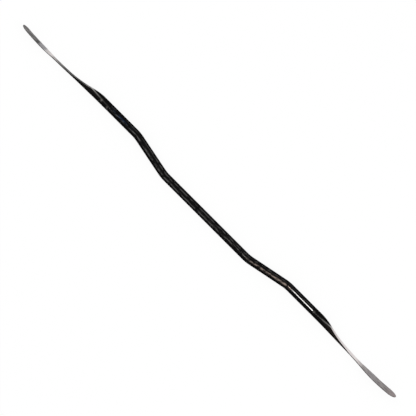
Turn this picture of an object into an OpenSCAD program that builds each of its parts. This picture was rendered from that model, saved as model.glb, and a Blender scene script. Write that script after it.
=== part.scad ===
// Double-ended sculpting spatula: a cranked round bar with a narrow and a broad forged blade
// let into its ends. Millimetres, +Z up, lying as it comes to rest on a level surface at z = 0.
// Each part is drawn in the tool's own plane (x along the grip, y towards the side that the
// ends are cranked to), then lie_down() turns the whole tool into its resting pose.

/* [Handle bar] */
// Diameter of the round bar and of both blade shanks
bar_d = 3.2; // [2.8:0.1:3.6]
// Straight grip, between the corners of the two bends beside it
grip_len = 45; // [36:1:60]
// Step from the grip's axis to the axis of the two end arms
crank_step = 3.75; // [3.2:0.05:4.6]
// Slope of each crank against the grip
crank_angle = 12; // [10:0.5:15]
// Radius of every bend, at the middle of the bar
bend_r = 15; // [10:1:20]
// Arm at the narrow end, from the corner of its bend to the joint
narrow_arm = 15; // [13:0.5:20]
// Arm at the broad end, from the corner of its bend to the joint
broad_arm = 13.7; // [13:0.1:20]

/* [Joints] */
// Diameter of the tang that holds a blade in the bar
tang_d = 1.6; // [1.2:0.1:1.8]
// Length of the tang
tang_len = 6; // [4:0.5:7]
// Gap all round the tang, filled by the brazing when the tool is made
tang_gap = 0.04; // [0.02:0.01:0.08]
// Room left behind the end of the tang
socket_room = 0.6; // [0.3:0.1:1.2]
// Edges broken at the seam between a shank and the bar
edge_break = 0.12; // [0.05:0.01:0.2]

/* [Forging of both blades] */
// Length of a blade from its joint to its tip
blade_len = 45.3; // [43:0.1:50]
// Length of the shank that stays round
round_len = 3.7; // [2.5:0.1:5]
// Run over which the shank narrows into the neck
neck_run = 14; // [10:0.5:18]
// Run over which the section changes from round to flat
flatten_run = 20; // [14:0.5:24]
// Distance from the joint to where the blade is down to its thickness
drawn_at = 28; // [24:0.5:30]
// How early the shank is drawn down: higher is earlier
draw_power = 2.6; // [1.5:0.1:3]
// Thickness of the blade at the end of the draw
blade_t = 0.36; // [0.3:0.02:0.6]
// Thickness of the blade at its tip
tip_t = 0.28; // [0.2:0.02:0.5]
// Distance from the joint to the lowest point of the underside
sag_at = 30.6; // [28:0.2:33]
// How late the underside curls up to the tip: 2 is a parabola, higher is later
curl_power = 2.5; // [2:0.1:4]
// Squareness of the blade's section: 2 is an ellipse, higher has flatter faces
flatness = 5; // [4:0.5:7]

/* [Narrow blade] */
// Full width
narrow_w = 4.0; // [3.2:0.1:4.6]
// Width of its neck
narrow_neck = 2.3; // [1.8:0.1:2.8]
// Distance from the joint to where the neck starts to spread
narrow_spread_from = 26.4; // [24:0.2:30]
// Distance from the joint to where it has its full width
narrow_spread_to = 34.7; // [33:0.1:37]
// Length of its rounded tip
narrow_tip = 2.4; // [2:0.1:5]
// Distance from the joint to where its underside leaves the line of the bar
narrow_sag_from = 12.6; // [10:0.2:20]
// Depth of the lowest point of its underside below the line of the bar
narrow_sag = 0.31; // [0.2:0.01:0.6]
// Rise of its underside from that point to the tip
narrow_lift = 0.75; // [0.4:0.01:1.2]

/* [Broad blade] */
// Full width
broad_w = 5.9; // [5:0.1:7]
// Width of its neck
broad_neck = 3.1; // [2.6:0.1:3.6]
// Distance from the joint to where the neck starts to spread
broad_spread_from = 23.2; // [22:0.1:27]
// Distance from the joint to where it has its full width
broad_spread_to = 35.1; // [33:0.1:37]
// Length of its rounded tip
broad_tip = 3.6; // [3:0.1:6]
// Distance from the joint to where its underside leaves the line of the bar
broad_sag_from = 18; // [10:0.2:20]
// Depth of the lowest point of its underside below the line of the bar
broad_sag = 0.39; // [0.2:0.01:0.6]
// Rise of its underside from that point to the tip
broad_lift = 0.96; // [0.4:0.01:1.2]

/* [Hidden] */
$fn = 96;
bar_r = bar_d / 2;
crank_run = crank_step / tan(crank_angle);
bend_cut = bend_r * tan(crank_angle / 2);
narrow_joint = grip_len / 2 + crank_run + narrow_arm;
broad_joint = grip_len / 2 + crank_run + broad_arm;
socket_r = tang_d / 2 + tang_gap;
socket_len = tang_len + socket_room;
drill_slope = 31;
narrow = [
    narrow_w, narrow_neck, narrow_spread_from, narrow_spread_to,
    narrow_tip, narrow_sag_from, narrow_sag, narrow_lift
];
broad = [
    broad_w, broad_neck, broad_spread_from, broad_spread_to,
    broad_tip, broad_sag_from, broad_sag, broad_lift
];
// Loft resolution: points round a section, stations on the shank and on the rounded tip
sides = 32;
shank_stations = 48;
tip_stations = 12;
// Degrees that the rounded tip sweeps: short of 90, so that it ends in a hair of straight edge
tip_sweep = 88.5;
// A bend and a loft start this far inside the round piece they grow out of, a hair thinner than it
lap = 0.2;
lap_inset = 0.005;
// Run over which a loft then makes up that hair
lap_fade = 1;

// Resting pose. The tool touches the surface with the lower edge of each blade, where the blade
// reaches its full width, and with the grip, at the grip's narrow end. The line through the two
// edge points crosses the plane of that grip end at [rest_y, rest_z].
rest_x = -(grip_len / 2 - bend_cut);
narrow_foot = [-(narrow_joint + narrow_spread_to), foot_y(narrow), -narrow_w / 2];
broad_foot = [broad_joint + broad_spread_to, foot_y(broad), -broad_w / 2];
foot_share = (rest_x - narrow_foot.x) / (broad_foot.x - narrow_foot.x);
rest_y = narrow_foot.y + foot_share * (broad_foot.y - narrow_foot.y);
rest_z = narrow_foot.z + foot_share * (broad_foot.z - narrow_foot.z);
roll = -asin(bar_r / norm([rest_y, rest_z])) - atan2(rest_z, rest_y);
pitch = atan2(rolled_z(broad_foot) - rolled_z(narrow_foot), broad_foot.x - narrow_foot.x);
rest_lift = rest_x * sin(pitch) + bar_r * cos(pitch);
middle_x = (broad_joint - narrow_joint) / 2;
middle_y = crank_step * cos(roll) / 2;

// A blade b is the list of its own sizes, read by these names
function full_w(b) = b[0];
function neck_w(b) = b[1];
function spread_from(b) = b[2];
function spread_to(b) = b[3];
function tip_len(b) = b[4];
function sag_from(b) = b[5];
function sag(b) = b[6];
function lift(b) = b[7];

function foot_y(b) = crank_step + underside(spread_to(b), b) + thickness(spread_to(b)) / 2;
function rolled_z(p) = p.y * sin(roll) + p.z * cos(roll);

// Soft step from 0 to 1
function ease(u) = let (k = min(max(u, 0), 1)) k * k * (3 - 2 * k);
// Blade thickness at distance j from the joint
function flat_t(j) = blade_t + (tip_t - blade_t) * ease((j - drawn_at) / (blade_len - drawn_at));
function drawn(j) = pow(1 - ease((j - round_len) / (drawn_at - round_len)), draw_power);
function thickness(j) = flat_t(j) + (bar_d - flat_t(j)) * drawn(j);
// Height of the underside above the axis of the arm
function curl(j, b) = lift(b) * pow(min(max((j - sag_at) / (blade_len - sag_at), 0), 1), curl_power);
function sagging(j, b) = sag(b) * ease((j - sag_from(b)) / (sag_at - sag_from(b)));
function underside(j, b) = curl(j, b) - bar_r - sagging(j, b);
// Blade width, with an elliptical end
function necking(j, b) = (neck_w(b) - bar_d) * ease((j - round_len) / neck_run);
function spreading(j, b) = ease((j - spread_from(b)) / (spread_to(b) - spread_from(b)));
function spread(j, b) = (full_w(b) - neck_w(b)) * spreading(j, b);
function tip_share(j, b) = min(max((j - blade_len) / tip_len(b) + 1, 0), 1);
function width(j, b) = (bar_d + necking(j, b) + spread(j, b)) * sqrt(1 - pow(tip_share(j, b), 2));
// Exponent of the section, from a circle to a flat strip with rounded edges
function squareness(j) = 2 + (flatness - 2) * ease((j - round_len) / flatten_run);
function signed_pow(v, p) = sign(v) * pow(abs(v), p);
function inset(j) = lap_inset * (1 - ease((j - round_len) / lap_fade));
function ring(j, b) = [
    for (i = [0:sides - 1])
        let (a = 360 * (i + 0.5) / sides, p = 2 / squareness(j), half_t = thickness(j) / 2)
            [
                j,
                underside(j, b) + half_t + (half_t - inset(j)) * signed_pow(sin(a), p),
                (width(j, b) / 2 - inset(j)) * signed_pow(cos(a), p)
            ]
];
// Stations are even along the shank, and crowd towards the end of the tip
function shank_station(k, b) = let (from = round_len - lap)
    from + (blade_len - tip_len(b) - from) * k / shank_stations;
function tip_station(k, b) = blade_len + tip_len(b) * (sin(tip_sweep * k / tip_stations) - 1);
function stations(b) = concat(
    [for (k = [0:shank_stations]) shank_station(k, b)],
    [for (k = [1:tip_stations]) tip_station(k, b)]
);

module lie_down() {
    translate([-middle_x, -middle_y, rest_lift])
        rotate([roll, pitch, 0])
            children();
}

// Round piece along +x, turned from a profile of [radius, distance along] points
module turned(profile) {
    rotate([0, 90, 0])
        rotate_extrude()
            polygon(profile);
}

// Bend from the origin, off +x to the left for side 1 and to the right for side -1
module bend(side) {
    lap_angle = lap / bend_r * 180 / PI;
    translate([0, side * bend_r, 0])
        rotate([0, 0, -side * (90 + lap_angle)])
            rotate_extrude(angle = side * (crank_angle + 2 * lap_angle))
                translate([bend_r, 0])
                    circle(r = bar_r - lap_inset);
}

// Carries what follows to the far end of a bend
module past_bend(side) {
    translate([0, side * bend_r, 0])
        rotate([0, 0, side * crank_angle])
            translate([0, -side * bend_r, 0])
                children();
}

module straight(length) {
    turned([[0, 0], [bar_r, 0], [bar_r, length], [0, length]]);
}

// Arm of the bar: broken edge at the seam, drilled for the tang
module drilled_arm(length) {
    mouth = length - socket_len;
    drill_end = mouth - socket_r * tan(drill_slope);
    turned([
        [0, 0],
        [bar_r, 0],
        [bar_r, length - edge_break],
        [bar_r - edge_break, length],
        [socket_r, length],
        [socket_r, mouth],
        [0, drill_end]
    ]);
}

// Half of the bar from the middle of the grip out to one joint, each piece drawn from the end
// of the one before it
module bar_half(arm) {
    half_grip = grip_len / 2 - bend_cut;
    slope_len = norm([crank_run, crank_step]) - 2 * bend_cut;
    straight(half_grip);
    translate([half_grip, 0, 0]) {
        bend(1);
        past_bend(1) {
            straight(slope_len);
            translate([slope_len, 0, 0]) {
                bend(-1);
                past_bend(-1)
                    drilled_arm(arm - bend_cut);
            }
        }
    }
}

// Forged blade pointing along +x from its joint at the origin
module blade(b) {
    along = stations(b);
    last = len(along) - 1;
    points = [for (j = along) each ring(j, b)];
    skin = [
        for (k = [0:last - 1])
            for (i = [0:sides - 1])
                let (n = (i + 1) % sides, from = k * sides, to = from + sides)
                    each [[from + i, from + n, to + n], [from + i, to + n, to + i]]
    ];
    root = [for (i = [0:sides - 1]) sides - 1 - i];
    end = [for (i = [0:sides - 1]) last * sides + i];
    polyhedron(points = points, faces = concat([root], skin, [end]));
    turned([
        [0, -tang_len],
        [tang_d / 2 - edge_break, -tang_len],
        [tang_d / 2, -tang_len + edge_break],
        [tang_d / 2, 0],
        [bar_r - edge_break, 0],
        [bar_r, edge_break],
        [bar_r, round_len],
        [0, round_len]
    ]);
}

module handle_bar() {
    color([0.03, 0.03, 0.035])
        lie_down() {
            bar_half(broad_arm);
            mirror([1, 0, 0])
                bar_half(narrow_arm);
        }
}

module narrow_blade() {
    color([0.55, 0.55, 0.54])
        lie_down()
            mirror([1, 0, 0])
                translate([narrow_joint, crank_step, 0])
                    blade(narrow);
}

module broad_blade() {
    color([0.55, 0.55, 0.54])
        lie_down()
            translate([broad_joint, crank_step, 0])
                blade(broad);
}

handle_bar();
narrow_blade();
broad_blade();
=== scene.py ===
# %% [markdown]
# # A double-ended sculpting spatula
# The tool is a thin round bar, cranked on each side of its grip, with a narrow and a broad
# forged blade let into its ends. It lies on a pale surface as it comes to rest, and the camera
# looks straight down on it. The solids of the tool are loaded first: they fix where everything
# is. They could be given materials as they are, but their facets are coarse and they carry no
# marks of wear, so each is replaced below by a finer surface that follows the same sizes.

import bpy
import numpy as np
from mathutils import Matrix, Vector


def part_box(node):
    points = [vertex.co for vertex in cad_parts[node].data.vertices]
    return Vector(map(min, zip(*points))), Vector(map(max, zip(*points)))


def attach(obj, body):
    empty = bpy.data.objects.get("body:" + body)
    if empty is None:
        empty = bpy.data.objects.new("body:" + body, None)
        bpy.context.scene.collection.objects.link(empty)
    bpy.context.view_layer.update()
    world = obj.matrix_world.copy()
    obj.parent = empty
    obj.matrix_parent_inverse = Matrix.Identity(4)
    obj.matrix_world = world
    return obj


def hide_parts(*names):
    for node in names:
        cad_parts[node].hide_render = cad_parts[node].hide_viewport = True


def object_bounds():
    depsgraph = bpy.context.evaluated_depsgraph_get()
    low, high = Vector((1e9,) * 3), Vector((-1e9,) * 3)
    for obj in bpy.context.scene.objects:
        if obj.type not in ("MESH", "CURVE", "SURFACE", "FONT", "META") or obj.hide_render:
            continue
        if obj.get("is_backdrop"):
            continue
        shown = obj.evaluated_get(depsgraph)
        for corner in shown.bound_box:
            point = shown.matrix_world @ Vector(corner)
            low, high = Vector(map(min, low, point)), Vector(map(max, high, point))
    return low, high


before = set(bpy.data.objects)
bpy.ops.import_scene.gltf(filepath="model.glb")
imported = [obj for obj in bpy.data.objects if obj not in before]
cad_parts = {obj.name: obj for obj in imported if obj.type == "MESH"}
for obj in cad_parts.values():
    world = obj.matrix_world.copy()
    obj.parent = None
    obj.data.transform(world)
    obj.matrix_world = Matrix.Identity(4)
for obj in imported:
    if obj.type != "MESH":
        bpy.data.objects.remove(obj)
cad_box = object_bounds()
scene = bpy.context.scene
scene.view_settings.view_transform = "Standard"
MM = 0.001
for node_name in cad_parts:
    low, high = (np.array(corner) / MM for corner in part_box(node_name))
    print(node_name, "size in mm", np.round(high - low, 2))

# %% [markdown]
# ## The driving sizes
# These are the sizes of the solids, in millimetres. They could be measured from the loaded meshes,
# but a mesh does not tell a bend from a taper. Written out as a maker would, they let every curve
# below be worked out, so a surface made here lies on the solid that it replaces.

# %% Sizes of the bar and its sockets
BAR_D = 3.2  # the round bar and both shanks
BAR_R = BAR_D / 2
GRIP_LEN = 45.0  # between the corners of the bends beside the grip
CRANK_STEP = 3.75  # from the grip's axis to the axis of the arms
CRANK_ANGLE = np.radians(12)  # slope of a crank against the grip
BEND_R = 15.0  # at the middle of the bar
ARM = {"narrow": 15.0, "broad": 13.7}  # from the corner of the outer bend to the joint
TANG_R = 0.8
TANG_LEN = 6.0
TANG_GAP = 0.04  # all round the tang, for the brazing
SOCKET_ROOM = 0.6  # behind the end of the tang
SOCKET_R = TANG_R + TANG_GAP
SOCKET_LEN = TANG_LEN + SOCKET_ROOM
DRILL_SLOPE = np.radians(31)  # of the cone that the drill leaves
EDGE_BREAK = 0.12  # at the seam between shank and bar
CRANK_RUN = CRANK_STEP / np.tan(CRANK_ANGLE)  # a crank's length along the grip's axis
BEND_CUT = BEND_R * np.tan(CRANK_ANGLE / 2)  # how far a bend starts before its corner
JOINT_X = {end: GRIP_LEN / 2 + CRANK_RUN + ARM[end] for end in ARM}
for end, joint_x in JOINT_X.items():
    print(end, "joint", round(float(joint_x), 2), "mm from the grip's middle")

# %% Sizes of the blades
BLADE_LEN = 45.3  # joint to tip
ROUND_LEN = 3.7  # shank that stays round
NECK_RUN = 14.0  # over which the shank narrows into the neck
FLATTEN_RUN = 20.0  # over which the section goes from round to flat
DRAWN_AT = 28.0  # where the blade is down to its thickness
DRAW_POWER = 2.6  # higher draws it down earlier
BLADE_T = 0.36  # thickness at the end of the draw
TIP_T = 0.28  # thickness at the tip
SAG_AT = 30.6  # lowest point of the underside
CURL_POWER = 2.5  # 2 is a parabola, higher curls later
FLATNESS = 5.0  # 2 is an ellipse, higher has flatter faces
# Width and neck are across the blade. Along it: where the leaf starts and ends its spread, the
# length of the tip, and where the underside starts to sag. Sag is its depth, and lift is its rise
# from there to the tip.
BLADE = {
    "narrow": dict(width=4.0, neck=2.3, spread_from=26.4, spread_to=34.7, tip=2.4,
                   sag_from=12.6, sag=0.31, lift=0.75),
    "broad": dict(width=5.9, neck=3.1, spread_from=23.2, spread_to=35.1, tip=3.6,
                  sag_from=18.0, sag=0.39, lift=0.96),
}
TOOL_LEN = JOINT_X["narrow"] + JOINT_X["broad"] + 2 * BLADE_LEN
print("the tool is", round(float(TOOL_LEN), 1), "mm long")

# %% [markdown]
# ## The blade's laws
# A smith draws the round shank down flat: it thins quickly at first, then slowly, narrows into a
# neck and spreads into a leaf. The blade could be a hand-drawn outline with a thickness, but each
# of these changes is one soft step along the blade. Four short functions of the distance from the
# joint hold the whole form, and none of them leaves a kink.


# %% Thickness and underside along a blade
def ease(u):
    """Soft step: 3u^2 - 2u^3 between 0 and 1."""
    k = np.clip(u, 0, 1)
    return k * k * (3 - 2 * k)


def thickness(j):
    """Round stock drawn down to the blade: (1 - soft step) to a power, above the blade's own taper."""
    flat = BLADE_T + (TIP_T - BLADE_T) * ease((j - DRAWN_AT) / (BLADE_LEN - DRAWN_AT))
    drawn = (1 - ease((j - ROUND_LEN) / (DRAWN_AT - ROUND_LEN))) ** DRAW_POWER
    return flat + (BAR_D - flat) * drawn


def underside(j, blade):
    """In line with the bar, then a soft sag, then a curl that grows as a power of the distance."""
    curl = blade["lift"] * np.clip((j - SAG_AT) / (BLADE_LEN - SAG_AT), 0, 1) ** CURL_POWER
    sagging = blade["sag"] * ease((j - blade["sag_from"]) / (SAG_AT - blade["sag_from"]))
    return curl - BAR_R - sagging


SHOWN_J = np.array([5, 12, 20, 30, 40])
print("thickness at", SHOWN_J, "mm from the joint:", np.round(thickness(SHOWN_J), 2))


# %% Width and squareness along a blade
def width(j, blade):
    """Bar width eased into the neck and out to the leaf, times the half-ellipse of the tip."""
    necking = (blade["neck"] - BAR_D) * ease((j - ROUND_LEN) / NECK_RUN)
    leaf = blade["spread_to"] - blade["spread_from"]
    spread = (blade["width"] - blade["neck"]) * ease((j - blade["spread_from"]) / leaf)
    share = np.clip((j - BLADE_LEN + blade["tip"]) / blade["tip"], 0, 1)
    return (BAR_D + necking + spread) * np.sqrt(1 - share**2)


def squareness(j):
    """Exponent of the section: 2 is a circle, FLATNESS a strip with rounded edges."""
    return 2 + (FLATNESS - 2) * ease((j - ROUND_LEN) / FLATTEN_RUN)


for end in BLADE:
    print(end, "width there:", np.round(width(SHOWN_J, BLADE[end]), 2))

# %% [markdown]
# ## The resting pose
# All curves are drawn in the plane of the bends, with the grip along x. Lying down, the tool
# touches the surface with the lower edge of both blades and with one end of the grip. A physics
# run could drop it there, but three points of contact are enough to work out the roll about x and
# the small pitch about y, and they come out the same each time.


# %% Three points of contact
def foot(end, side):
    """Lower edge of a blade where it reaches its full width."""
    j = BLADE[end]["spread_to"]
    y = CRANK_STEP + underside(j, BLADE[end]) + thickness(j) / 2
    return np.array([side * (JOINT_X[end] + j), y, -BLADE[end]["width"] / 2])


narrow_foot = foot("narrow", -1)
broad_foot = foot("broad", 1)
rest_x = -(GRIP_LEN / 2 - BEND_CUT)
rest_share = (rest_x - narrow_foot[0]) / (broad_foot[0] - narrow_foot[0])
rest_y, rest_z = (narrow_foot + rest_share * (broad_foot - narrow_foot))[1:]
ROLL = -np.arcsin(BAR_R / np.hypot(rest_y, rest_z)) - np.arctan2(rest_z, rest_y)
rise = (broad_foot - narrow_foot) @ np.array([0, np.sin(ROLL), np.cos(ROLL)])
PITCH = np.arctan2(rise, broad_foot[0] - narrow_foot[0])
print("roll and pitch in degrees", np.round(np.degrees([ROLL, PITCH]), 3))

# %% From the plane of the bends to the surface
LIFT = rest_x * np.sin(PITCH) + BAR_R * np.cos(PITCH)
MIDDLE_X = (JOINT_X["broad"] - JOINT_X["narrow"]) / 2
MIDDLE = np.array([MIDDLE_X, CRANK_STEP * np.cos(ROLL) / 2, -LIFT])


def lie_down(points):
    """Roll about x, then pitch about y, then the shift to the middle of the tool, in metres."""
    cr, sr = np.cos(ROLL), np.sin(ROLL)
    cp, sp = np.cos(PITCH), np.sin(PITCH)
    roll = np.array([[1, 0, 0], [0, cr, -sr], [0, sr, cr]])
    pitch = np.array([[cp, 0, sp], [0, 1, 0], [-sp, 0, cp]])
    return (points @ (pitch @ roll).T - MIDDLE) * MM


print("the grip's middle lies at", np.round(lie_down(np.zeros(3)) / MM, 2), "mm")

# %% [markdown]
# ## From rings to a mesh
# Every piece of this tool is a row of closed rings along a line, ended by a point on the line. A
# curve with a bevel could make the bar, but not a blade whose section changes, so one function
# joins any rings with quads and fans. It also keeps what the finishes need at each vertex: where
# it would be if the piece were straight, in millimetres, and the masks that say where the surface
# was ground, polished or rubbed.


# %% Faces between rings
def ring_faces(count, around, side):
    """Quads between ring i and ring i + 1, and a fan from each end ring to its pole; side -1 turns them."""
    here = np.arange(around)
    following = np.roll(here, -1)
    start = np.arange(count - 1)[:, None] * around
    near = [start + here, start + following]
    far = [start + around + following, start + around + here]
    quads = np.stack(near + far, axis=-1).reshape(-1, 4)
    first_pole = count * around
    last_ring = first_pole - around
    near_fan = np.stack([np.full(around, first_pole), following, here], axis=-1)
    far_fan = np.stack([np.full(around, first_pole + 1), last_ring + here, last_ring + following], axis=-1)
    fans = np.concatenate([near_fan, far_fan])
    return quads[:, ::side].tolist() + fans[:, ::side].tolist()


def ends_added(values):
    """Rings as one list, followed by the mean of the first ring and of the last, for the two poles."""
    rows = values.reshape(values.shape[0], values.shape[1], -1)
    poles = rows[[0, -1]].mean(axis=1)
    return np.concatenate([rows.reshape(-1, rows.shape[2]), poles])


print("3 rings of 4 points give", len(ring_faces(3, 4, 1)), "faces")

# %% A skin over rings
SHARP_FROM = np.radians(35)  # sharper edges are shaded as edges


def skin(name, rings, poles, straight, masks, side=1):
    """Mesh over rings and poles, laid down on the surface, with its straight layout and its masks."""
    faces = ring_faces(*rings.shape[:2], side)
    points = np.concatenate([rings.reshape(-1, 3), poles])
    mesh = bpy.data.meshes.new(name)
    mesh.from_pydata(lie_down(points).tolist(), [], faces)
    where = mesh.attributes.new("straight_mm", "FLOAT_VECTOR", "POINT")
    where.data.foreach_set("vector", ends_added(straight).astype(np.float32).ravel())
    for mask, values in masks.items():
        layer = mesh.attributes.new(mask, "FLOAT", "POINT")
        layer.data.foreach_set("value", ends_added(values).astype(np.float32).ravel())
    mesh.polygons.foreach_set("use_smooth", np.ones(len(faces), dtype=bool))
    mesh.set_sharp_from_angle(angle=SHARP_FROM)
    piece = bpy.data.objects.new(name, mesh)
    scene.collection.objects.link(piece)
    print(name, "has", len(points), "points and", len(faces), "faces")
    return piece


print("edges sharper than", round(float(np.degrees(SHARP_FROM))), "degrees stay crisp")


# %% Volume of a piece, to compare a surface with its solid
def points_of(piece):
    """Places of all the piece's points, one row each."""
    places = np.empty(len(piece.data.vertices) * 3)
    piece.data.vertices.foreach_get("co", places)
    return places.reshape(-1, 3)


def enclosed(piece):
    """Volume in cubic mm: a sixth of the summed triple products of the triangles' corners."""
    piece.data.calc_loop_triangles()
    triangles = np.empty(len(piece.data.loop_triangles) * 3, dtype=int)
    piece.data.loop_triangles.foreach_get("vertices", triangles)
    a, b, c = np.moveaxis(points_of(piece)[triangles.reshape(-1, 3)], 1, 0)
    return float(np.einsum("ij,ij->i", a, np.cross(b, c)).sum() / 6 / MM**3)


for node_name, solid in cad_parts.items():
    print("solid of", node_name, round(enclosed(solid), 1), "cubic mm")

# %% [markdown]
# ## The handle bar
# A drawn round bar, bent cold over a former. It could be straight and arc stretches joined end to
# end, but a bend is simply a heading that changes evenly: it rises through the first bend and
# falls back through the second, so the line of the bar is the running sum of that heading. A
# profile of distance and radius is carried along it, from the bottom of one drilled socket, round
# the broken edge, along the bar, and into the other socket.

# %% Line of the bar
TRACK_POINTS = 20001  # close enough for a running sum to follow the arcs
HALF_GRIP = GRIP_LEN / 2 - BEND_CUT
BEND_LEN = BEND_R * CRANK_ANGLE
SLOPE_LEN = np.hypot(CRANK_RUN, CRANK_STEP) - 2 * BEND_CUT
OUTER_BEND = HALF_GRIP + BEND_LEN + SLOPE_LEN
BAR_END = {end: OUTER_BEND + BEND_LEN + ARM[end] - BEND_CUT for end in ARM}
track = np.linspace(0, max(BAR_END.values()), TRACK_POINTS)
turn = np.clip((track - HALF_GRIP) / BEND_R, 0, CRANK_ANGLE)
turn -= np.clip((track - OUTER_BEND) / BEND_R, 0, CRANK_ANGLE)
step = np.diff(track)
middle_turn = (turn[1:] + turn[:-1]) / 2
track_x = np.concatenate([[0], np.cumsum(np.cos(middle_turn) * step)])
track_y = np.concatenate([[0], np.cumsum(np.sin(middle_turn) * step)])


def bar_line(run):
    """Place and heading at a signed run from the grip's middle: the far half mirrors the near one."""
    side = np.sign(run)
    reach = np.abs(run)
    x = side * np.interp(reach, track, track_x)
    return x, np.interp(reach, track, track_y), side * np.interp(reach, track, turn)


print("bar is", round(float(sum(BAR_END.values())), 2), "mm along its line")

# %% Profile of the bar, from socket to socket
BAR_RINGS = 440


def socket_profile(end):
    """Runs and radii from the drilled floor's rim out of the mouth to the broken edge."""
    stop = BAR_END[end]
    runs = np.array([stop - SOCKET_LEN, stop, stop])
    return runs, np.array([SOCKET_R, SOCKET_R, BAR_R - EDGE_BREAK])


near_runs, near_radii = socket_profile("narrow")
far_runs, far_radii = socket_profile("broad")
along_bar = np.linspace(EDGE_BREAK - BAR_END["narrow"], BAR_END["broad"] - EDGE_BREAK, BAR_RINGS)
bar_run = np.concatenate([-near_runs, along_bar, far_runs[::-1]])
bar_radius = np.concatenate([near_radii, np.full(BAR_RINGS, BAR_R), far_radii[::-1]])
radii = np.round([bar_radius.min(), bar_radius.max()], 2)
print("profile has", bar_run.size, "rings, with the least and greatest radius", radii, "mm")

# %% Rings of the bar
AROUND = 96
angle = 2 * np.pi * np.arange(AROUND) / AROUND
x, y, heading = (value[:, None] for value in bar_line(bar_run))
outward = bar_radius[:, None] * np.cos(angle)
upward = bar_radius[:, None] * np.sin(angle)
turned = (x - outward * np.sin(heading), y + outward * np.cos(heading), upward)
bar_rings = np.stack(np.broadcast_arrays(*turned), axis=-1)
bar_straight = np.stack(np.broadcast_arrays(bar_run[:, None], outward, upward), axis=-1)
drill_depth = SOCKET_LEN + SOCKET_R * np.tan(DRILL_SLOPE)
drill_points = np.array([drill_depth - BAR_END["narrow"], BAR_END["broad"] - drill_depth])
drill_x, drill_y, _ = bar_line(drill_points)
bar_poles = np.stack([drill_x, drill_y, np.zeros(2)], axis=-1)
print("drill points at", np.round(drill_points, 2), "mm along the bar")

# %% [markdown]
# ### Wear and painted highlights along the bar
# Drawing and handling leave fine broken lines in the black, and a patch of blue lies on one arm.
# The two lines on the side seen from above are worn lines and painted highlights at once: they
# stand in for lamps mirrored along the bar. A brown-beige stretch on one crank is a painted
# highlight made to look rubbed, and a burnished line on the other arm is partly a painted highlight.
# Noise alone could scatter such marks, but it would not put them where they are on this tool. So
# each mark is a bell across the bar, whose angle and strength drift along it, and it is kept on the
# mesh as a mask. Angles are in degrees round the bar, and runs are in mm from the grip's middle.

# %% Broken lines along the bar
LINE_SPREAD = 8
STREAK_RUN = [-48, -33, -15, 4, 14, 41, 43]  # runs at which angles and strengths are given


def bell(distance, spread):
    """Bell curve: e to minus the square of distance over spread."""
    return np.exp(-((distance / spread) ** 2))


def wear_and_highlight_line(degrees, strength):
    """Line along the bar: a bell across it, whose angle and strength drift along the bar."""
    middle = np.radians(np.interp(bar_run, STREAK_RUN, degrees))[:, None]
    along = np.interp(bar_run, STREAK_RUN, strength)[:, None]
    return along * bell(angle - middle, np.radians(LINE_SPREAD))


# The near and far lines are worn lines and painted highlights at once, set where lamps are mirrored along the
# top of the bar
near_highlight_and_wear = wear_and_highlight_line([79, 89, 96, 93, 79, 77, 73], [1, 1, 0.9, 0.7, 0.7, 0.7, 0])
far_highlight_and_wear = wear_and_highlight_line([38, 35, 50, 43, 43, 40, 43], [0.25, 0.6, 0.7, 0.6, 0.6, 0.35, 0.3])
# Lines on the sides that face away: angle and strength of each, which drift alike
OTHER_STREAKS = {170: 0.6, 203: 0.9, 240: 0.6, 283: 0.9, 322: 0.6}
DRIFT = [0, 6, -4, 5, -5, 4, 0]
FADING = [1, 0.5, 1, 0.7, 0.9, 0.5, 1]
other_streaks = sum(
    wear_and_highlight_line([at + drift for drift in DRIFT], [strength * share for share in FADING])
    for at, strength in OTHER_STREAKS.items()
)
print(2 + len(OTHER_STREAKS), "lines run along the bar")

# %% Rubbed, burnished and blue marks, the first two partly painted highlights
# Angle of each mark round the bar, and its spread; the rubbed and burnished marks are painted highlights in
# part
MARK_AT = {"rubbed_highlight": (79, 11), "burnished_highlight": (73.5, 6.5), "blue": (70, 14)}
BLUE_RUN = -49.3
BLUE_LONG = 4.2
BLUE_SHARE = 0.5


def mark(name):
    """Bell across the bar at the mark's angle."""
    middle, spread = np.radians(MARK_AT[name])
    return bell(angle - middle, spread)


# Brown-beige stretch on the crank: a painted highlight, made to look rubbed
rubbed_highlight_at = np.interp(bar_run, [-8, 2, 21, 27, 41, 43], [0, 0.03, 0.05, 0.75, 1, 0])[:, None]
# Burnished line on the broad arm: partly a painted highlight, beside the strip lamp's own
burnished_highlight_at = np.interp(bar_run, [42, 44], [0, 1])[:, None]
blue_at = BLUE_SHARE * bell(bar_run - BLUE_RUN, BLUE_LONG)[:, None]
print("marks on the bar:", ", ".join(MARK_AT))

# %% The handle bar with its masks
BARE_SHARE = 0.4  # in the sockets and on the drilled ends, fading over the broken edges
bar_bare = np.zeros((bar_run.size, AROUND))
bar_bare[: near_runs.size] = BARE_SHARE
bar_bare[-far_runs.size :] = BARE_SHARE
bar_masks = {
    "bare": bar_bare,
    # The lines and the rubbed and burnished marks below include painted highlights
    "wear_and_highlight_line": near_highlight_and_wear + far_highlight_and_wear + other_streaks,
    "rubbed_highlight": rubbed_highlight_at * mark("rubbed_highlight"),
    "burnished_highlight": burnished_highlight_at * mark("burnished_highlight"),
    "blue": blue_at * mark("blue"),
}
handle_bar = skin("handle_bar_skin", bar_rings, bar_poles, bar_straight, bar_masks)
print("handle bar", round(enclosed(handle_bar), 1), "cubic mm")

# %% [markdown]
# ## The blades
# A blade is forged from one rod: a round tang, a shoulder, a round shank, and then a flat leaf. It
# could be a tube and a plate joined together, but the real one has no join there. So it is one
# loft: the same ring of points changes from a circle into a strip with rounded edges. The section
# is a superellipse, whose exponent grows as the hammer flattens it, and the rings crowd together
# at the rounded tip.

# %% Section of a blade
BLADE_AROUND = 128
ring_angle = 2 * np.pi * np.arange(BLADE_AROUND) / BLADE_AROUND


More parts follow.
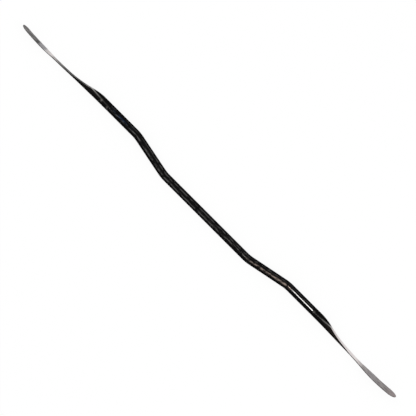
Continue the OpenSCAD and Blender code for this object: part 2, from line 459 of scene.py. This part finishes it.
def section(half_width, half_thickness, power):
    """Superellipse |z/a|^p + |y/b|^p = 1 on a circle's spacing: z = a cos, y = b (1 - |cos|^p)^(1/p)."""
    across = np.cos(ring_angle)
    up = np.sign(np.sin(ring_angle)) * (1 - np.abs(across) ** power) ** (1 / power)
    return half_thickness * up, half_width * across


def flat_share(half_width, half_thickness, power):
    """How far a point faces up or down rather than sideways, 0 to 1, from the section's gradient."""
    across = np.abs(np.cos(ring_angle))
    up = (1 - across**power) ** (1 / power)
    lift = up ** (power - 1) / half_thickness
    return lift / np.hypot(lift, across ** (power - 1) / half_width)


leaf_flat = flat_share(BLADE["broad"]["width"] / 2, BLADE_T / 2, FLATNESS)
print("on the broad leaf, the mean share of facing up or down is", round(float(leaf_flat.mean()), 2))

# %% Rings of a blade
BLADE_RINGS = 260
TIP_RINGS = 40
# The last ring stops just short of the tip, which the pole closes
TIP_SWEEP = np.radians(89.4)
ROOT_J = np.array([-TANG_LEN, -TANG_LEN + EDGE_BREAK, 0, 0])[:, None]
ROOT_R = np.array([TANG_R - EDGE_BREAK, TANG_R, TANG_R, BAR_R - EDGE_BREAK])[:, None]


def stations(blade):
    """Distances from the joint: even up to the tip, then tip length times the sine of an even angle."""
    tip_start = BLADE_LEN - blade["tip"]
    sweep = TIP_SWEEP * np.arange(1, TIP_RINGS + 1) / TIP_RINGS
    tip = tip_start + blade["tip"] * np.sin(sweep)
    return np.concatenate([np.linspace(EDGE_BREAK, tip_start, BLADE_RINGS), tip])


def blade_form(blade):
    """Sections along the blade: distance, half sizes, height above the bar's line, and place across."""
    j = stations(blade)[:, None]
    half_t = thickness(j) / 2
    half_w = width(j, blade) / 2
    up, across = section(half_w, half_t, squareness(j))
    return dict(j=j, half_t=half_t, half_w=half_w, up=up + underside(j, blade) + half_t, across=across)


forms = {end: blade_form(blade) for end, blade in BLADE.items()}
for end, form in forms.items():
    print(end, "tip lies", round(float(-form["up"][-1].mean()), 2), "mm below the bar's line")

# %% [markdown]
# ### Where the wheel went
# The wheel takes the black off the flat faces from a little past the shank, and off the whole leaf.
# It leaves a dark strip along one corner of the neck. Where the round back of the shank runs out
# into the face a light line is painted: a painted highlight, standing for a lamp mirrored on that
# rounded corner. The marks could be painted by hand on an unwrapped picture, but worked out from
# the section and the distance they stay in place when a size changes.

# %% Ground faces
FACE_FLAT = (0.9, 0.98)  # share of facing up or down at which the wheel starts to bite, and bites
CORNER = 0.55  # how far the dark strip reaches in from one edge
CORNER_FADE = 0.2
CORNER_TO = (17, 23)  # mm from the joint, over which the strip runs out
EDGE_FROM = (28.0, 34.0)  # mm from the joint, over which the edges turn bare too


def over(value, span):
    """Soft step from the first to the second value of a span."""
    return ease((value - span[0]) / (span[1] - span[0]))


def ground_masks(form, face_from):
    """Face: flat enough and clear of the dark corner; bare: face past the shank, and all of the leaf."""
    j = form["j"]
    face = over(flat_share(form["half_w"], form["half_t"], squareness(j)), FACE_FLAT)
    corner = CORNER * (1 - over(j, CORNER_TO))
    face = face * ease((form["half_w"] - form["across"] - corner) / CORNER_FADE + 1)
    bare = np.maximum(face * over(j, face_from), over(j, EDGE_FROM))
    return {"bare": bare, "edge": 1 - face}


print("the whole leaf is bare from", EDGE_FROM[1], "mm on")

# %% Painted highlight on the run-out of the round back, and traces of brazing
RIDGE_START = -0.2  # height of the line at the joint, as the tool lies
RIDGE_RISE = 0.07  # its rise for each mm along the shank
RIDGE_WIDTH = 0.2
RIDGE_J = [0, 4, 9, 10.5, 12.2]  # mm from the joint
RIDGE_SHARE = [0.04, 0.07, 0.7, 1, 0]  # how bright it is there
BRAZE_LONG = 0.4
BRAZE_HIGH = 0.45
BRAZE_FROM = -0.3  # the traces lie on one side, from this place across


def shank_masks(form, marks):
    """Ridge: a painted highlight, a bell about a line that rises along the shank as the tool lies; braze:
    small round bells.
    """
    j, across = form["j"], form["across"]
    above = form["up"] * np.cos(ROLL)
    ridge_highlight_at = above - np.abs(across) * np.sin(ROLL) - RIDGE_START - RIDGE_RISE * j
    # The run-out line is a painted highlight
    ridge_highlight = bell(ridge_highlight_at, RIDGE_WIDTH) * np.interp(j, RIDGE_J, RIDGE_SHARE)
    height = above - across * np.sin(ROLL)
    braze = sum(
        share * bell(j - at, BRAZE_LONG) * bell(height - high, BRAZE_HIGH)
        for at, high, share in marks
    )
    return {"ridge_highlight": ridge_highlight, "braze": braze * (across > BRAZE_FROM)}


print("the run-out is brightest", RIDGE_J[3], "mm from the joint")

# %% Bands of polish and temper; the polish bands are painted reflections as well
# Length and height of each wave in mm, and its start in radians
WAVES = ((2.1, 0.3, 0.4), (0.9, 0.2, 1.9), (0.5, 0.12, 3.1))


def ragged(across):
    """How far the wheel ran on at each point of the width, in mm: a sum of sine waves."""
    return sum(height * np.sin(2 * np.pi * across / length + start) for length, height, start in WAVES)


def bands(j, across, stops):
    """Share of each band at each point, between stops of distance and share, with a ragged border."""
    return {band: np.interp(j + ragged(across), *zip(*stops[band])) for band in ("polish_and_reflection", "blue", "straw")}


print("band borders wander by up to", round(sum(height for _, height, _ in WAVES), 2), "mm")

# %% Finish of each blade, as stops of (mm from the joint, share)
# The polish stops also paint reflections: bright and dark bands of steel along the blade
FINISH = {
    "narrow": dict(
        face_from=(8.5, 12.0),
        polish_and_reflection=[(8.5, 0.5), (11, 0.3), (14, 0), (18, 0), (22, 0.05), (26, 0.2), (29.5, 0.74), (32.2, 0.76),
                (33, 0.36), (35.9, 0.32), (36.4, 0), (37.8, 0.02), (39, 0.1), (41, 0.16), (45.3, 0.15)],
        blue=[(32, 0), (33, 0.3), (35.7, 0.3), (36.2, 0)],
        straw=[(0, 0)],
        # Each trace of brazing: mm from the joint, height as the tool lies, share
        braze=[(4.0, -0.25, 0.9), (0.6, -0.75, 0.75)],
    ),
    "broad": dict(
        face_from=(8.0, 10.2),
        polish_and_reflection=[(8, 0.8), (10, 1), (17, 0.95), (24, 1), (29, 0.36), (32, 0.3), (36, 0.24),
                (41, 0.22), (45.3, 0.34)],
        blue=[(30, 0), (33, 0.2), (38, 0)],
        straw=[(6, 0), (10, 0.3), (13, 0.3), (20, 0.1), (28, 0.18), (40, 0.2), (43, 0.6), (45.3, 0.7)],
        braze=[(0.5, 0.0, 0.5)],
    ),
}
for end, finish in FINISH.items():
    print(end, "blade is ground from", finish["face_from"][0], "mm past the joint")


# %% The two blades
def blade_surface(end, side):
    """Tang and shoulder as circles, then the sections, set out from the joint; the root has no marks."""
    form, finish = forms[end], FINISH[end]
    j = np.concatenate([ROOT_J, form["j"]])
    up = np.concatenate([ROOT_R * np.sin(ring_angle), form["up"]])
    across = np.concatenate([ROOT_R * np.cos(ring_angle), form["across"]])
    reach = side * (JOINT_X[end] + j)
    rings = np.stack(np.broadcast_arrays(reach, CRANK_STEP + up, across), axis=-1)
    straight = np.stack(np.broadcast_arrays(j, up, across), axis=-1)
    tip_y = CRANK_STEP + underside(BLADE_LEN, BLADE[end]) + thickness(BLADE_LEN) / 2
    poles = [[reach[0, 0], CRANK_STEP, 0], [side * (JOINT_X[end] + BLADE_LEN), tip_y, 0]]
    marked = ground_masks(form, finish["face_from"]) | shank_masks(form, finish["braze"])
    root = np.zeros((ROOT_J.size, BLADE_AROUND))
    masks = {mask: np.concatenate([root, values]) for mask, values in marked.items()}
    return skin(end + "_blade_skin", rings, poles, straight, masks | bands(j, across, finish), -side)


narrow_blade = blade_surface("narrow", -1)
broad_blade = blade_surface("broad", 1)
for piece in (narrow_blade, broad_blade):
    print(piece.name, round(enclosed(piece), 1), "cubic mm")

# %% [markdown]
# ## Finishes
# Colours are written as sRGB hex, as a swatch is, and turned to linear light by one function.
# Another adds a shader node with its settings and links, so a material reads as a list of steps.
# Patterns could follow Object coordinates, but then their lines would run straight on at a bend.
# They are laid out on the straight piece in millimetres instead, and so follow the bar round it.


# %% Colour and node helpers
def linear(swatch):
    """sRGB hex to linear RGBA: a straight foot below 0.04045, a power of 2.4 above it."""
    parts = np.array([int(swatch[i : i + 2], 16) for i in (1, 3, 5)]) / 255
    light = np.where(parts <= 0.04045, parts / 12.92, ((parts + 0.055) / 1.055) ** 2.4)
    return (*light.tolist(), 1.0)


def add(tree, kind, inputs=None, **settings):
    """New node of a kind: settings are its properties, inputs are values or sockets to link."""
    node = tree.nodes.new(kind)
    for key, value in settings.items():
        setattr(node, key, value)
    for key, value in (inputs or {}).items():
        if isinstance(value, bpy.types.NodeSocket):
            tree.links.new(value, node.inputs[key])
        else:
            node.inputs[key].default_value = value
    return node


print("middle grey #808080 is", round(linear("#808080")[0], 3), "in linear light")


# %% Start of a material, shares over its surface, and coats of colour
def new_material(name):
    """Material with one shader and an output; returns it, its tree and its shader."""
    material = bpy.data.materials.new(name)
    material.use_nodes = True
    tree = material.node_tree
    tree.nodes.clear()
    shader = add(tree, "ShaderNodeBsdfPrincipled")
    add(tree, "ShaderNodeOutputMaterial", {"Surface": shader.outputs["BSDF"]})
    return material, tree, shader


def surface_shares(tree, grains, masks):
    """Shares by name: masks off the mesh, and grains: noise of a size in mm, with its detail and start."""
    share = {mask: add(tree, "ShaderNodeAttribute", attribute_name=mask).outputs["Fac"] for mask in masks}
    mm = add(tree, "ShaderNodeAttribute", attribute_name="straight_mm").outputs["Vector"]
    for grain, (size_mm, detail, start) in grains.items():
        laid = {0: mm, 1: [1 / size for size in size_mm], 2: (start, 0, 0)}
        place = add(tree, "ShaderNodeVectorMath", laid, operation="MULTIPLY_ADD").outputs[0]
        noise = add(tree, "ShaderNodeTexNoise", {"Vector": place, "Scale": 1.0, "Detail": detail})
        share[grain] = noise.outputs["Fac"]
    return share


def coated(tree, ground, coats):
    """The ground colour with coats laid over it in turn, each by its share from 0 to 1."""
    for share, coat in coats:
        paint = {"Factor": share, "A": ground, "B": coat}
        ground = add(tree, "ShaderNodeMix", paint, data_type="RGBA").outputs["Result"]
    return ground


print("grains run over", round(float(np.ptp(bar_straight[..., 0])), 1), "mm of straight bar")

# %% [markdown]
# ### Black oxide on drawn steel
# The bar is drawn through a die, which leaves fine lines along it, then blackened and oiled. It
# could be black paint, but paint would hide the die lines and have a plastic shine. The oxide is
# thin, so it is made as a dark metal: its black wanders between blue and brown, the oil gives a
# tight highlight, and worn lines show grey through it. Some of the grey lines, a brown-beige stretch
# and a burnished line are painted highlights as well, where lamps are mirrored along the bar. At a
# glancing angle it mirrors less than clean steel does, so its specular tint is dark.

# %% Sizes and levels of the oxide
# Size in mm along, up and across the bar, detail, and start of the noise
OXIDE_GRAINS = {
    "line": ((6, 0.45, 0.45), 2, 0),
    # Die lines lie about 0.05 mm apart: they are drawn at 0.15 mm, to show in the render
    "die": ((14, 0.15, 0.15), 2, 0),
    "cloud": ((9, 5, 5), 1, 0),
    # Breaks that turn the worn lines, the painted highlight lines and the marks into dashes
    "dash": ((1.9, 0.5, 0.5), 1, 17),
}
# Most values of a noise lie in this span
NOISE_LOW, NOISE_HIGH = 0.3, 0.7
DASH_FROM, DASH_TO = 0.44, 0.55  # noise below is a gap, above is a dash
GAP_SHARE = 0.06  # what is left of a line in its gaps
HAZE = 0.03  # faint dashes where no line runs
OXIDE_ROUGH = (0.07, 0.17)  # oiled, from smooth to worn
DARK_RIM = "#595959"
BUMP_STRENGTH = 0.2
BUMP_DEPTH = 0.01 * MM
print("oxide has", len(OXIDE_GRAINS), "grains, the finest", OXIDE_GRAINS["die"][0][1], "mm wide")


# %% Colour of the oxide
OXIDE_BLACK = "#0f1013"
# Grey of the worn lines, which also paints highlights along the bar
WORN_AND_HIGHLIGHT_GREY = "#6e6d6c"


def oxide_color(tree, share):
    """Clouded black, then the grey lines of wear and painted highlight, the blue patch and the brown painted
    highlight on the crank, as dashes, then the bare ends.
    """
    cut = {"Value": share["dash"], "From Min": DASH_FROM, "From Max": DASH_TO, "To Min": GAP_SHARE}
    dashes = add(tree, "ShaderNodeMapRange", cut).outputs["Result"]
    hazed = add(tree, "ShaderNodeMath", {0: share["wear_and_highlight_line"], 1: HAZE}, operation="ADD").outputs[0]
    lines = {0: dashes, 1: hazed, 2: share["burnished_highlight"]}
    lit = add(tree, "ShaderNodeMath", lines, operation="MULTIPLY_ADD", use_clamp=True).outputs[0]
    patches = add(tree, "ShaderNodeMath", {0: share["blue"], 1: dashes}, operation="MULTIPLY").outputs[0]
    # The brown stretch on the crank, broken into dashes: a painted highlight
    worn = add(tree, "ShaderNodeMath", {0: share["rubbed_highlight"], 1: dashes}, operation="MULTIPLY").outputs[0]
    return coated(tree, linear(OXIDE_BLACK), (
        (share["cloud"], linear("#151312")),
        # Grey lines: wear, and painted highlights where lamps are mirrored along the bar
        (lit, linear(WORN_AND_HIGHLIGHT_GREY)),
        (patches, linear("#1e3c62")),
        # Brown-beige: the painted highlight on the crank
        (worn, linear("#b8a499")),
        (share["bare"], linear("#6f6c69")),
    ))


# The grey lines measured here include the painted highlights
brighter = linear(WORN_AND_HIGHLIGHT_GREY)[0] / linear(OXIDE_BLACK)[0]
print("a worn line is up to", round(brighter), "times as bright as the black")


# %% Black oxide on drawn steel
def black_oxide():
    """Near-black with broken grey lines along the bar, worn lines and painted highlights; bare steel shows
    only at its drilled ends.
    """
    material, tree, shader = new_material("black_oxide_on_drawn_steel")
    share = surface_shares(tree, OXIDE_GRAINS, bar_masks)
    tree.links.new(oxide_color(tree, share), shader.inputs["Base Color"])
    shader.inputs["Metallic"].default_value = 1.0
    shader.inputs["Specular Tint"].default_value = linear(DARK_RIM)
    oiled = {
        "Value": share["line"],
        "From Min": NOISE_LOW,
        "From Max": NOISE_HIGH,
        "To Min": OXIDE_ROUGH[0],
        "To Max": OXIDE_ROUGH[1],
    }
    rough = add(tree, "ShaderNodeMapRange", oiled)
    tree.links.new(rough.outputs["Result"], shader.inputs["Roughness"])
    relief = {"Height": share["die"], "Strength": BUMP_STRENGTH, "Distance": BUMP_DEPTH}
    tree.links.new(add(tree, "ShaderNodeBump", relief).outputs["Normal"], shader.inputs["Normal"])
    return material


bar_black = black_oxide()
print(bar_black.name, "has", len(bar_black.node_tree.nodes), "nodes")

# %% [markdown]
# ### Forged and ground steel
# A blade keeps the black skin of the forge on its shank and on the sides of its neck. The wheel
# has taken it off the faces: the neck is polished, and the leaf is left with a satin of fine lines
# along it, tinted blue or straw where the grinding ran hot. The bright and dark bands of that
# steel are polish and painted reflections at once, and a light line on the shank is a painted
# highlight. Two materials could be given to two sets of faces, but the border between skin and
# steel is soft, so one material fades from one to the other by the masks on the mesh.

# %% Sizes and levels of the forged steel
# Size in mm along, up and across the blade, detail, and start of the noise
FORGED_GRAINS = {
    # Wheel lines lie about 0.04 mm apart: they are drawn at 0.12 mm, to show in the render
    "wheel": ((6, 0.12, 0.12), 3, 0),
    "pass": ((2, 0.9, 0.9), 2, 0),
    "flake": ((0.8, 0.8, 0.8), 3, 0),
    "trace": ((1.2, 1.2, 1.2), 1, 0),
}
TRACE_FROM, TRACE_TO = 0.3, 0.6  # noise below is between specks of brazing, above is a speck
TRACE_SHARE = 0.4  # what is left between the specks
PASS_DRIFT = 0.14  # how far a pass of the wheel dulls or brightens the steel
SKIN_ROUGH = 0.35
SATIN_ROUGH = 0.5
POLISH_ROUGH = 0.22
WHEEL_ROUGH = 0.16  # added by the wheel lines
CLEAN_RIM = (1, 1, 1, 1)
BLADE_MASKS = ("bare", "edge", "ridge_highlight", "braze", "polish_and_reflection", "blue", "straw")
print("forged steel has", len(FORGED_GRAINS), "grains, the finest", FORGED_GRAINS["wheel"][0][1], "mm wide")


# %% Colour of the forged steel
FORGE_BLACK = "#121213"
# Bright steel, which the polish bands also use to paint reflections
POLISHED_AND_REFLECTION = "#e3dcdb"


def forged_color(tree, share, gleam):
    """Black skin with temper and brazing on it; where it is ground, steel from satin to polished in bands
    that also paint reflections, with tints; a painted highlight on the run-out.
    """
    cut = {"Value": share["trace"], "From Min": TRACE_FROM, "From Max": TRACE_TO, "To Min": TRACE_SHARE}
    traces = add(tree, "ShaderNodeMapRange", cut).outputs["Result"]
    brazed = add(tree, "ShaderNodeMath", {0: traces, 1: share["braze"]}, operation="MULTIPLY").outputs[0]
    black = coated(tree, linear(FORGE_BLACK), (
        (share["flake"], linear("#1b1a19")),
        (share["straw"], linear("#302724")),
        (brazed, linear("#75726f")),
    ))
    steel = coated(tree, linear("#424242"), (
        (gleam, linear(POLISHED_AND_REFLECTION)),
        (share["blue"], linear("#868a96")),
        (share["straw"], linear("#8f8080")),
        (share["edge"], linear("#343231")),
    ))
    # Light grey on the run-out: a painted highlight
    return coated(tree, black, ((share["bare"], steel), (share["ridge_highlight"], linear("#c0bebb"))))


# The bright end is polish and painted reflection together
brighter = linear(POLISHED_AND_REFLECTION)[0] / linear(FORGE_BLACK)[0]
print("the polish is", round(brighter), "times as bright as the skin of the forge")


# %% Forged and ground steel
def forged_and_ground():
    """Dull black scale, and where it is ground off, steel from dark satin to bright polished, in bands that
    also paint reflections.
    """
    material, tree, shader = new_material("forged_and_ground_steel")
    share = surface_shares(tree, FORGED_GRAINS, BLADE_MASKS)
    swing = {
        "Value": share["pass"],
        "From Min": NOISE_LOW,
        "From Max": NOISE_HIGH,
        "To Min": -PASS_DRIFT,
        "To Max": PASS_DRIFT,
    }
    drift = add(tree, "ShaderNodeMapRange", swing).outputs["Result"]
    wheeled = {0: share["polish_and_reflection"], 1: drift}
    gleam = add(tree, "ShaderNodeMath", wheeled, operation="ADD", use_clamp=True).outputs[0]
    tree.links.new(forged_color(tree, share, gleam), shader.inputs["Base Color"])
    shader.inputs["Metallic"].default_value = 1.0
    # The painted highlight gets the clean steel's rim, as the ground faces do
    either = {0: share["bare"], 1: share["ridge_highlight"]}
    ground = add(tree, "ShaderNodeMath", either, operation="MAXIMUM").outputs[0]
    tree.links.new(coated(tree, linear(DARK_RIM), ((ground, CLEAN_RIM),)), shader.inputs["Specular Tint"])
    finish = {"Value": gleam, "To Min": SATIN_ROUGH, "To Max": POLISH_ROUGH}
    satin = add(tree, "ShaderNodeMapRange", finish).outputs["Result"]
    scored = {0: share["wheel"], 1: WHEEL_ROUGH, 2: satin}
    lined = add(tree, "ShaderNodeMath", scored, operation="MULTIPLY_ADD").outputs[0]
    rough = add(tree, "ShaderNodeMix", {"Factor": share["bare"], "A": SKIN_ROUGH, "B": lined})
    tree.links.new(rough.outputs["Result"], shader.inputs["Roughness"])
    relief = {"Height": share["wheel"], "Strength": BUMP_STRENGTH, "Distance": BUMP_DEPTH}
    tree.links.new(add(tree, "ShaderNodeBump", relief).outputs["Normal"], shader.inputs["Normal"])
    return material


blade_steel = forged_and_ground()
print(blade_steel.name, "has", len(blade_steel.node_tree.nodes), "nodes")

# %% [markdown]
# ## Dressing the tool
# Each surface gets its material and is put under the one rigid body that it moves with, and
# the solid that it replaces is hidden. The solids could be hidden by hand, but here the script
# hides them. The box of each surface is then compared with the box of its solid.

# %% Dress the pieces
dressing = (
    (handle_bar, "handle_bar", bar_black, "bar_black"),
    (narrow_blade, "narrow_blade", blade_steel, "blade_steel"),
    (broad_blade, "broad_blade", blade_steel, "blade_steel"),
)
for piece, node_name, material, slot in dressing:
    piece.data.materials.append(material)
    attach(piece, "root")
    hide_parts(node_name)
    low, high = (np.array(corner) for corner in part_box(node_name))
    points = points_of(piece)
    apart = np.concatenate([points.min(axis=0) - low, points.max(axis=0) - high]) / MM
    print(piece.name, "stands off its solid's box by", np.round(apart, 3), "mm")

# %% [markdown]
# ## The surface
# The tool lies on a pale floor. More light could make the floor white, but it would bleach the
# tool as well. To the camera and in reflections most of the floor's white is its own glow, so it
# stays white, and the rest is lit, so it still takes the tool's soft shadow.

# %% Floor
FLOOR_HALF = 8.0  # metres
FLOOR_GAP = 0.02 * MM  # keeps the floor clear of the lowest edge
floor_z = float(cad_box[0][2]) - FLOOR_GAP
FLOOR_SIDES = ((-1, -1), (1, -1), (1, 1), (-1, 1))
floor_corners = [(x * FLOOR_HALF, y * FLOOR_HALF, floor_z) for x, y in FLOOR_SIDES]
floor_mesh = bpy.data.meshes.new("floor")
floor_mesh.from_pydata(floor_corners, [], [(0, 1, 2, 3)])
floor = bpy.data.objects.new("floor", floor_mesh)
scene.collection.objects.link(floor)
floor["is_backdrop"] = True
print("floor lies at", round(floor_z / MM, 3), "mm")

# %% Pale floor
FLOOR_GLOW = 0.9
pale, tree, shader = new_material("pale_floor")
shader.inputs["Base Color"].default_value = linear("#f8f8f8")
shader.inputs["Roughness"].default_value = 1.0
shader.inputs["Specular IOR Level"].default_value = 0.0
path = add(tree, "ShaderNodeLightPath").outputs
seen = path["Is Camera Ray"]
for ray in ("Is Glossy Ray", "Is Transmission Ray"):
    seen = add(tree, "ShaderNodeMath", {0: seen, 1: path[ray]}, operation="MAXIMUM").outputs[0]
glowing = add(tree, "ShaderNodeMath", {0: seen, 1: FLOOR_GLOW}, operation="MULTIPLY").outputs[0]
glow = add(tree, "ShaderNodeEmission", {"Color": (1, 1, 1, 1), "Strength": 1.0}).outputs[0]
both = add(tree, "ShaderNodeMixShader", {0: glowing, 1: shader.outputs["BSDF"], 2: glow})
add(tree, "ShaderNodeOutputMaterial", {"Surface": both.outputs[0]}).is_active_output = True
floor_mesh.materials.append(pale)
print("the floor's own glow is", FLOOR_GLOW, "of its white")

# %% [markdown]
# ## The light
# An even pale world lights the tool from all round, as a light tent does. Two soft boxes stand
# beyond the ends, where the bar does not mirror them to the camera, and light the blades. A small
# strip above the broad arm adds to the bright line there. One large lamp overhead would be simpler,
# but a round bar would mirror it as a wide grey band along its whole length.

# %% World
WORLD_LEVEL = 0.6
world = bpy.data.worlds.new("studio")
scene.world = world
world.use_nodes = True
background = world.node_tree.nodes["Background"].inputs
background["Color"].default_value = (1, 1, 1, 1)
background["Strength"].default_value = WORLD_LEVEL
print("world level", WORLD_LEVEL)

# %% Lamps, in metres
BOX_AWAY = 0.5  # from the middle, and as high
BOX_SIDE = 0.5
BOX_LEVEL = 2.1
STRIP_X = 0.082
STRIP_Y = -0.04
STRIP_Z = 0.6
STRIP_SIZE = (0.036, 0.20)
STRIP_LEVEL = 11.5


def lamp(name, place, size, brightness, target=(0, 0, 0)):
    """Area lamp turned to a target; brightness 1 is as bright as white paper: power is pi times area."""
    light = bpy.data.lights.new(name, "AREA")
    light.shape = "RECTANGLE"
    light.size, light.size_y = size
    light.energy = brightness * np.pi * size[0] * size[1]
    holder = bpy.data.objects.new(name, light)
    holder.location = place
    holder.rotation_euler = (Vector(target) - Vector(place)).to_track_quat("-Z", "Y").to_euler()
    scene.collection.objects.link(holder)
    print(name, "gives", round(light.energy, 3), "W")


lamp("box_beyond_broad_end", (BOX_AWAY, 0.0, BOX_AWAY), (BOX_SIDE, BOX_SIDE), BOX_LEVEL)
lamp("box_beyond_narrow_end", (-BOX_AWAY, 0.0, BOX_AWAY), (BOX_SIDE, BOX_SIDE), BOX_LEVEL)
# The strip hangs where the arm mirrors it to a camera above, and is turned about x alone
lamp("line_on_broad_arm", (STRIP_X, STRIP_Y, STRIP_Z), STRIP_SIZE, STRIP_LEVEL, (STRIP_X, 0, 0))

# %% [markdown]
# ## The camera
# It looks straight down through a long lens, turned so that the tool lies on the picture's
# diagonal, with the broad blade at the lower right. An orthographic camera would come close, but a
# long lens keeps the slight perspective that a real one has. Its distance follows from the size of
# a pixel at the height of the tool.

# %% Camera
PICTURE_PX = 416
PX = 0.3795 * MM  # size of a pixel at the tool
SEEN_CENTRE = (-1.16 * MM, 1.19 * MM)  # place under the middle of the picture
MEAN_HEIGHT = 2.0 * MM
PICTURE_TURN = np.radians(45)
camera_data = bpy.data.cameras.new("camera")
camera_data.lens = 200
camera_data.sensor_width = 36
camera_data.clip_end = 20
distance = PICTURE_PX * PX * camera_data.lens / camera_data.sensor_width
camera = bpy.data.objects.new("camera", camera_data)
camera.location = (*SEEN_CENTRE, MEAN_HEIGHT + distance)
camera.rotation_euler = (0, 0, PICTURE_TURN)
scene.collection.objects.link(camera)
scene.camera = camera
print("camera stands", round(distance, 3), "m above the tool")

# %% [markdown]
# ## The sizes, and the end
# The surfaces must not change the size of the tool. The box of the solids, kept at the start, and
# the box of the dressed tool are taken, and their difference is printed.

# %% Sizes, and the end
visual_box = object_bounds()
boxes = {"cad": [list(map(float, c)) for c in cad_box], "visual": [list(map(float, c)) for c in visual_box]}
difference = (np.array(boxes["visual"]) - np.array(boxes["cad"])) / MM
print("the dressed tool's box differs by", np.round(difference, 3).tolist(), "mm")
